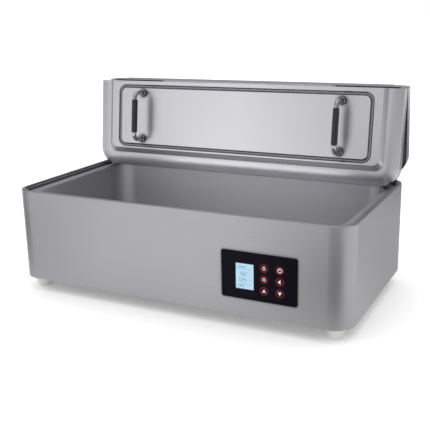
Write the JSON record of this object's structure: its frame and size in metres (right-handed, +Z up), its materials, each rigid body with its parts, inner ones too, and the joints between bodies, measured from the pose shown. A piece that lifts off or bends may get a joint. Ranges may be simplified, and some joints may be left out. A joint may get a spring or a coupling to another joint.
{
  "type": "splint heating pan",
  "caption": "Stainless water pan on feet with a folding two-part lid, lid handles, a front control panel and a rear drain.",
  "frame": {"origin": "middle of the housing's footprint, on the surface that the feet stand on", "axes": "+X to the right along the housing's length, +Y to the back, +Z up"},
  "size_m": [0.61, 0.394, 0.3474],
  "materials": {
    "brushed_steel": "fine vertical and lengthwise brushing, satin",
    "tub_steel": "satin",
    "liner_steel": "satin",
    "plain_steel": "mill finish",
    "hinge_steel": "cool, semi-bright",
    "screw_steel": "bright zinc",
    "foot_plastic": "translucent warm white",
    "seal_rubber": "dark silicone",
    "blanket": "glass wool",
    "heater_steel": "heat-darkened",
    "cutout_plastic": "phenolic",
    "board": "printed board",
    "post_brass": "plain",
    "switch_plastic": "moulded, fine grain",
    "panel_plastic": "smooth black",
    "window": "clear",
    "screen": "lit pale blue",
    "handle_chrome": "polished",
    "grip_plastic": "smooth black",
    "valve_brass": "plated",
    "lever_red": "dipped vinyl"
  },
  "bodies": {
    "housing": {"housing_shell": "brushed_steel", "base_plate": "plain_steel", "base_screws": "screw_steel", "foot_front_left": "foot_plastic", "foot_front_right": "foot_plastic", "foot_rear_left": "foot_plastic", "foot_rear_right": "foot_plastic", "foot_screws": "screw_steel", "tub": "tub_steel", "rim_seal": "seal_rubber", "tub_brackets": "plain_steel", "insulation": "blanket", "heating_element": "heater_steel", "heater_clamps": "plain_steel", "temperature_probe": "heater_steel", "thermal_cutout": "cutout_plastic", "board_posts": "post_brass", "power_board": "board", "control_panel": "panel_plastic", "control_board": "board", "key_switches": "switch_plastic", "display_window": "window", "display_module": "screen", "power_inlet": "switch_plastic", "inlet_pins": "post_brass", "inlet_screws": "screw_steel", "drain_fitting": "tub_steel", "drain_pipe": "plain_steel", "drain_valve": "valve_brass", "rear_hinge_base_leaf": "hinge_steel", "rear_hinge_pin": "hinge_steel"},
    "lid_rear": {"lid_rear_skin": "brushed_steel", "lid_rear_liner": "liner_steel", "lid_rear_core": "blanket", "rear_hinge_lid_leaf": "hinge_steel", "fold_hinge_rear_leaf": "hinge_steel", "fold_hinge_pin": "hinge_steel"},
    "lid_front": {"lid_front_skin": "brushed_steel", "lid_front_liner": "liner_steel", "lid_front_core": "blanket", "fold_hinge_front_leaf": "hinge_steel", "handle_bar_left": "handle_chrome", "handle_bar_right": "handle_chrome", "handle_grip_left": "grip_plastic", "handle_grip_right": "grip_plastic", "handle_ferrules": "handle_chrome", "handle_screws": "screw_steel"},
    "key_program": {"key_program": "panel_plastic"},
    "key_timer": {"key_timer": "panel_plastic"},
    "key_up": {"key_up": "panel_plastic"},
    "key_power": {"key_power": "panel_plastic"},
    "key_back": {"key_back": "panel_plastic"},
    "key_down": {"key_down": "panel_plastic"},
    "drain_handle": {"drain_ball": "valve_brass", "drain_lever": "lever_red"}
  },
  "joints": [
    {"name": "lid_hinge", "type": "hinge", "parent": "housing", "child": "lid_rear", "pos_m": [0, 0.166, 0.185], "axis": [1, 0, 0], "range_deg": [0, 82.7]},
    {"name": "lid_fold", "type": "hinge", "parent": "lid_rear", "child": "lid_front", "pos_m": [0, 0.14455, 0.34457], "axis": [1, 0, 0], "range_deg": [-165.4, 0]},
    {"name": "drain_turn", "type": "hinge", "parent": "housing", "child": "drain_handle", "pos_m": [-0.235, 0.1852, 0.045], "axis": [0, 0, 1], "range_deg": [-90, 0]},
    {"name": "key_program_press", "type": "slide", "parent": "housing", "child": "key_program", "axis": [0, 1, 0], "range_m": [0, 0.0008], "stiffness_N_per_m": 400},
    {"name": "key_timer_press", "type": "slide", "parent": "housing", "child": "key_timer", "axis": [0, 1, 0], "range_m": [0, 0.0008], "stiffness_N_per_m": 400},
    {"name": "key_up_press", "type": "slide", "parent": "housing", "child": "key_up", "axis": [0, 1, 0], "range_m": [0, 0.0008], "stiffness_N_per_m": 400},
    {"name": "key_power_press", "type": "slide", "parent": "housing", "child": "key_power", "axis": [0, 1, 0], "range_m": [0, 0.0008], "stiffness_N_per_m": 400},
    {"name": "key_back_press", "type": "slide", "parent": "housing", "child": "key_back", "axis": [0, 1, 0], "range_m": [0, 0.0008], "stiffness_N_per_m": 400},
    {"name": "key_down_press", "type": "slide", "parent": "housing", "child": "key_down", "axis": [0, 1, 0], "range_m": [0, 0.0008], "stiffness_N_per_m": 400}
  ],
  "couplings": [
    {"joint": "lid_fold", "follows": "lid_hinge", "ratio": -2}
  ]
}
